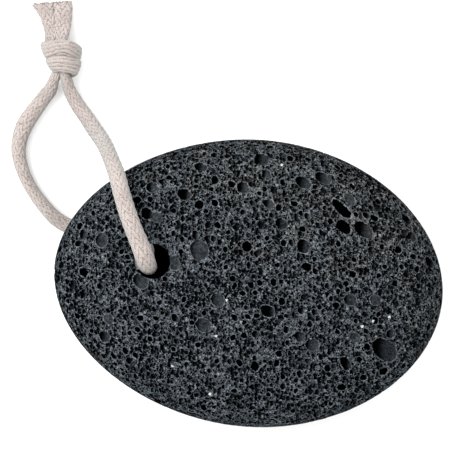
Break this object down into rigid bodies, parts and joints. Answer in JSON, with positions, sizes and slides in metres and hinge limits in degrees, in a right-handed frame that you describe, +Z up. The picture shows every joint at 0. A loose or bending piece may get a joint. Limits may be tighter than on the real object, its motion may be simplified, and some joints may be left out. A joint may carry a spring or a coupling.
{
  "type": "pumice stone",
  "caption": "Oval black pumice foot stone, pitted all over, with a drilled hole and a knotted loop of braided cotton cord to hang it by.",
  "frame": {"origin": "on the surface that the stone lies on, under the middle of the stone", "axes": "+X along the stone's length, away from its drilled hole; +Z up through the stone's thickness; +Y towards the cord's knot"},
  "size_m": [0.1145, 0.1059, 0.0335],
  "materials": {
    "pumice": "rough open-pored black volcanic stone",
    "cotton_cord": "soft undyed cotton braid"
  },
  "bodies": {
    "root": {"stone": "pumice", "cord_loop": "cotton_cord", "cord_knot": "cotton_cord", "cord_tail_left": "cotton_cord", "cord_tail_right": "cotton_cord"}
  },
  "joints": []
}
